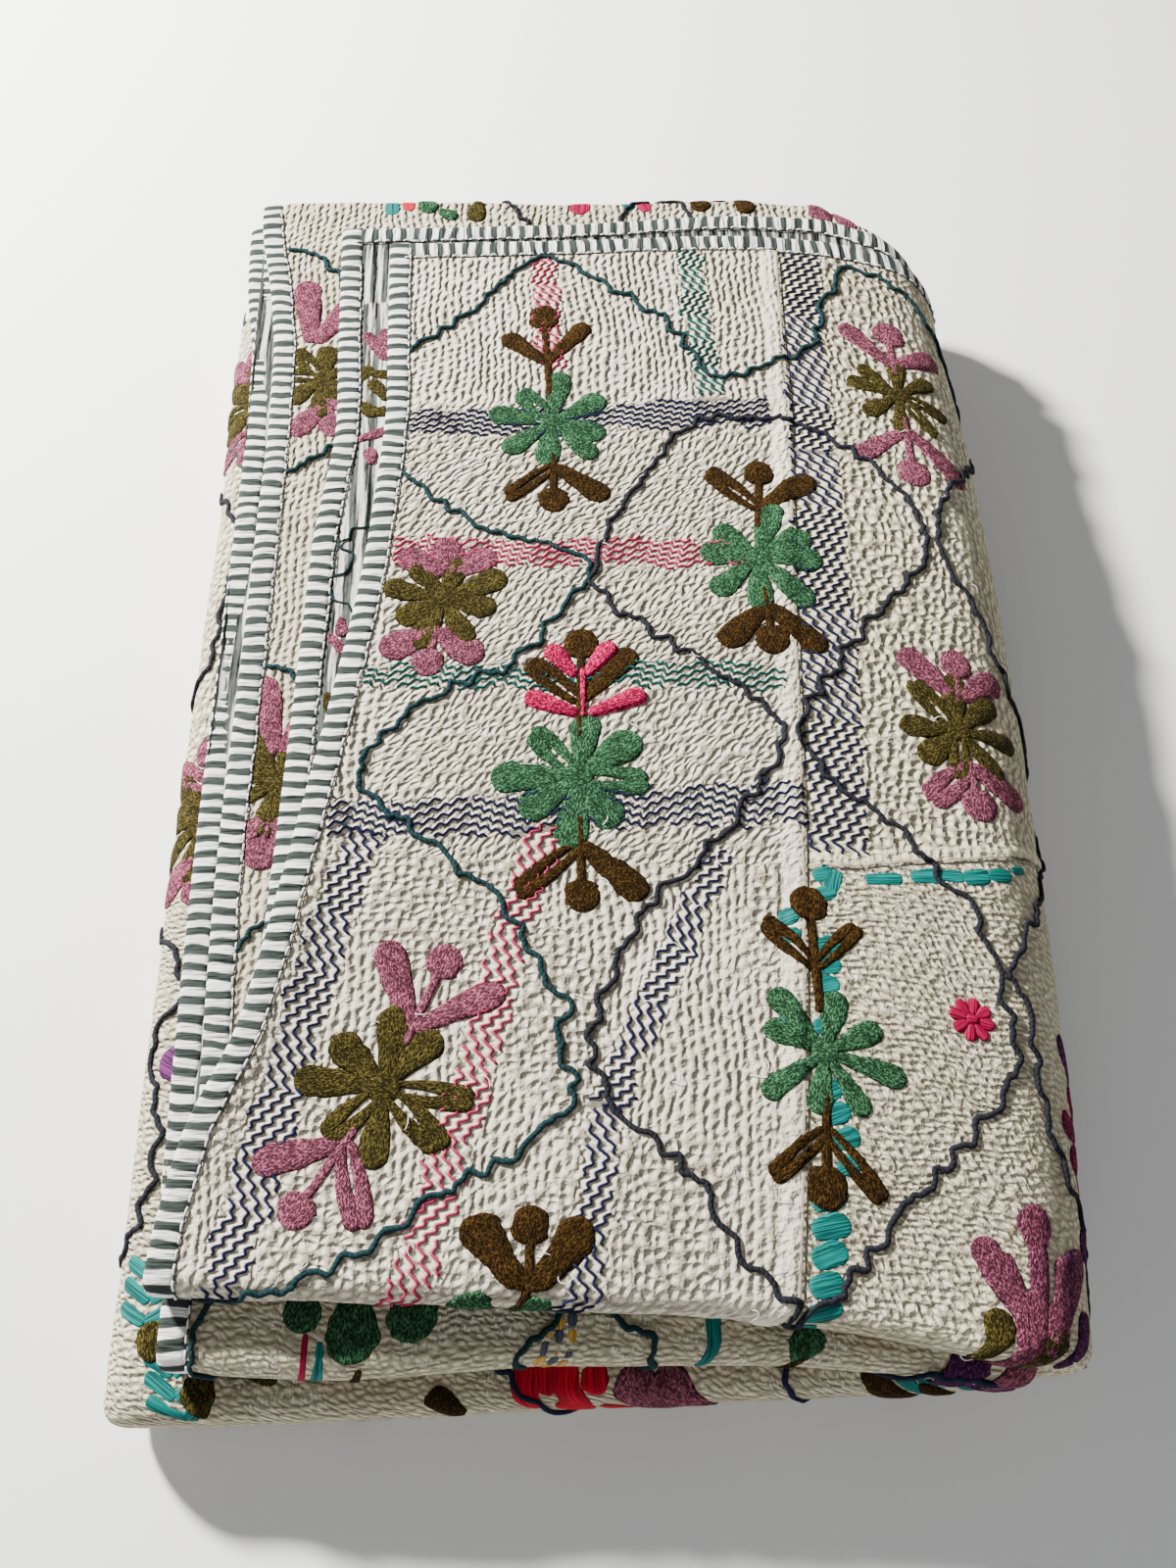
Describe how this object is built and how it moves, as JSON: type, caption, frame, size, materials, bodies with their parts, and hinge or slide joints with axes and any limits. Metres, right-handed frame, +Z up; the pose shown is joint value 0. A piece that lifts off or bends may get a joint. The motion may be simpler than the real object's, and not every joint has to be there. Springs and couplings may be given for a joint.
{
  "type": "kantha quilt",
  "caption": "Folded hand-quilted cotton bed cover in many close layers, with running-stitch texture, stitched flowers and a striped binding along every edge.",
  "frame": {"origin": "centre of the underside of the folded stack, on the surface it lies on", "axes": "+Z up through the layers; +Y along the stack, from the end with the loose noses to the end with the quilt's own bound ends; +X towards the closed side with the big bend"},
  "size_m": [0.4215, 0.6529, 0.0836],
  "materials": {
    "quilted_cotton": "matt cream cotton, puckered by rows of white running stitch",
    "striped_binding": "matt cotton, grey and white stripes across the binding",
    "embroidery": "soft wool and cotton yarn in dense chain stitch"
  },
  "bodies": {
    "root": {"quilt": "quilted_cotton", "binding_side_left": "striped_binding", "binding_side_right": "striped_binding", "binding_end_head": "striped_binding", "binding_end_foot": "striped_binding"}
  },
  "joints": []
}
